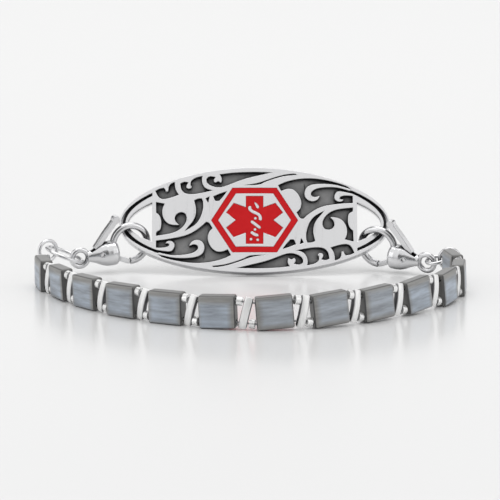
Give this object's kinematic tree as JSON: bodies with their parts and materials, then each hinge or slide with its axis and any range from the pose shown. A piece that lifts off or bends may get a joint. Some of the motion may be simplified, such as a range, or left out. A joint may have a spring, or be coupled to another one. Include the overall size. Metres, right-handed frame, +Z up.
{
  "type": "medical alert bracelet",
  "caption": "Medical alert bracelet: leaning oval identity tag with red enamel emblem, hooked by two lobster clasps to a double-threaded strand of square glass tile beads.",
  "frame": {"origin": "centre of the bounding box, on the surface that the bracelet lies on", "axes": "X along the tag from left to right, Y from the front of the strand to the tag at the back, Z up"},
  "size_m": [0.0606, 0.0466, 0.0145],
  "materials": {
    "tag_steel": "bright polished relief over dark oxidised recesses",
    "enamel": "glossy opaque enamel",
    "tile_glass": "opaque grey-blue glass with a satin, cloudy surface",
    "bead_silver": "silver plate, brushed lengthwise",
    "clasp_steel": "polished",
    "thread": "waxed beading thread"
  },
  "bodies": {
    "bracelet": {"id_tag": "tag_steel", "emblem_ring": "enamel", "emblem_star": "enamel", "tile_bead_01": "tile_glass", "tile_bead_02": "tile_glass", "tile_bead_03": "tile_glass", "tile_bead_04": "tile_glass", "tile_bead_05": "tile_glass", "tile_bead_06": "tile_glass", "tile_bead_07": "tile_glass", "tile_bead_08": "tile_glass", "tile_bead_09": "tile_glass", "tile_bead_10": "tile_glass", "tile_bead_11": "tile_glass", "tile_bead_12": "tile_glass", "tile_bead_13": "tile_glass", "bar_bead_01": "bead_silver", "bar_bead_02": "bead_silver", "bar_bead_03": "bead_silver", "bar_bead_04": "bead_silver", "bar_bead_05": "bead_silver", "bar_bead_06": "bead_silver", "bar_bead_07": "bead_silver", "bar_bead_08": "bead_silver", "bar_bead_09": "bead_silver", "bar_bead_10": "bead_silver", "bar_bead_11": "bead_silver", "bar_bead_12": "bead_silver", "spacer_beads": "bead_silver", "thread": "thread", "clasp_left": "clasp_steel", "pin_left": "clasp_steel", "clasp_right": "clasp_steel", "pin_right": "clasp_steel", "end_ring_left": "clasp_steel", "end_ring_right": "clasp_steel", "jump_ring_left": "clasp_steel", "jump_ring_right": "clasp_steel"},
    "left_gate": {"lever_left": "clasp_steel"},
    "right_gate": {"lever_right": "clasp_steel"}
  },
  "joints": [
    {"name": "left_gate_hinge", "type": "hinge", "parent": "bracelet", "child": "left_gate", "pos_m": [-0.02149, 0.01709, 0.00295], "axis": [0.3615, -0.9294, -0.0749], "range_deg": [0, 20], "stiffness_Nm_per_rad": 0.001, "springref_deg": -8.59},
    {"name": "right_gate_hinge", "type": "hinge", "parent": "bracelet", "child": "right_gate", "pos_m": [0.02246, 0.01655, 0.00248], "axis": [0.4476, 0.8787, 0.166], "range_deg": [0, 20], "stiffness_Nm_per_rad": 0.001, "springref_deg": -8.59}
  ]
}
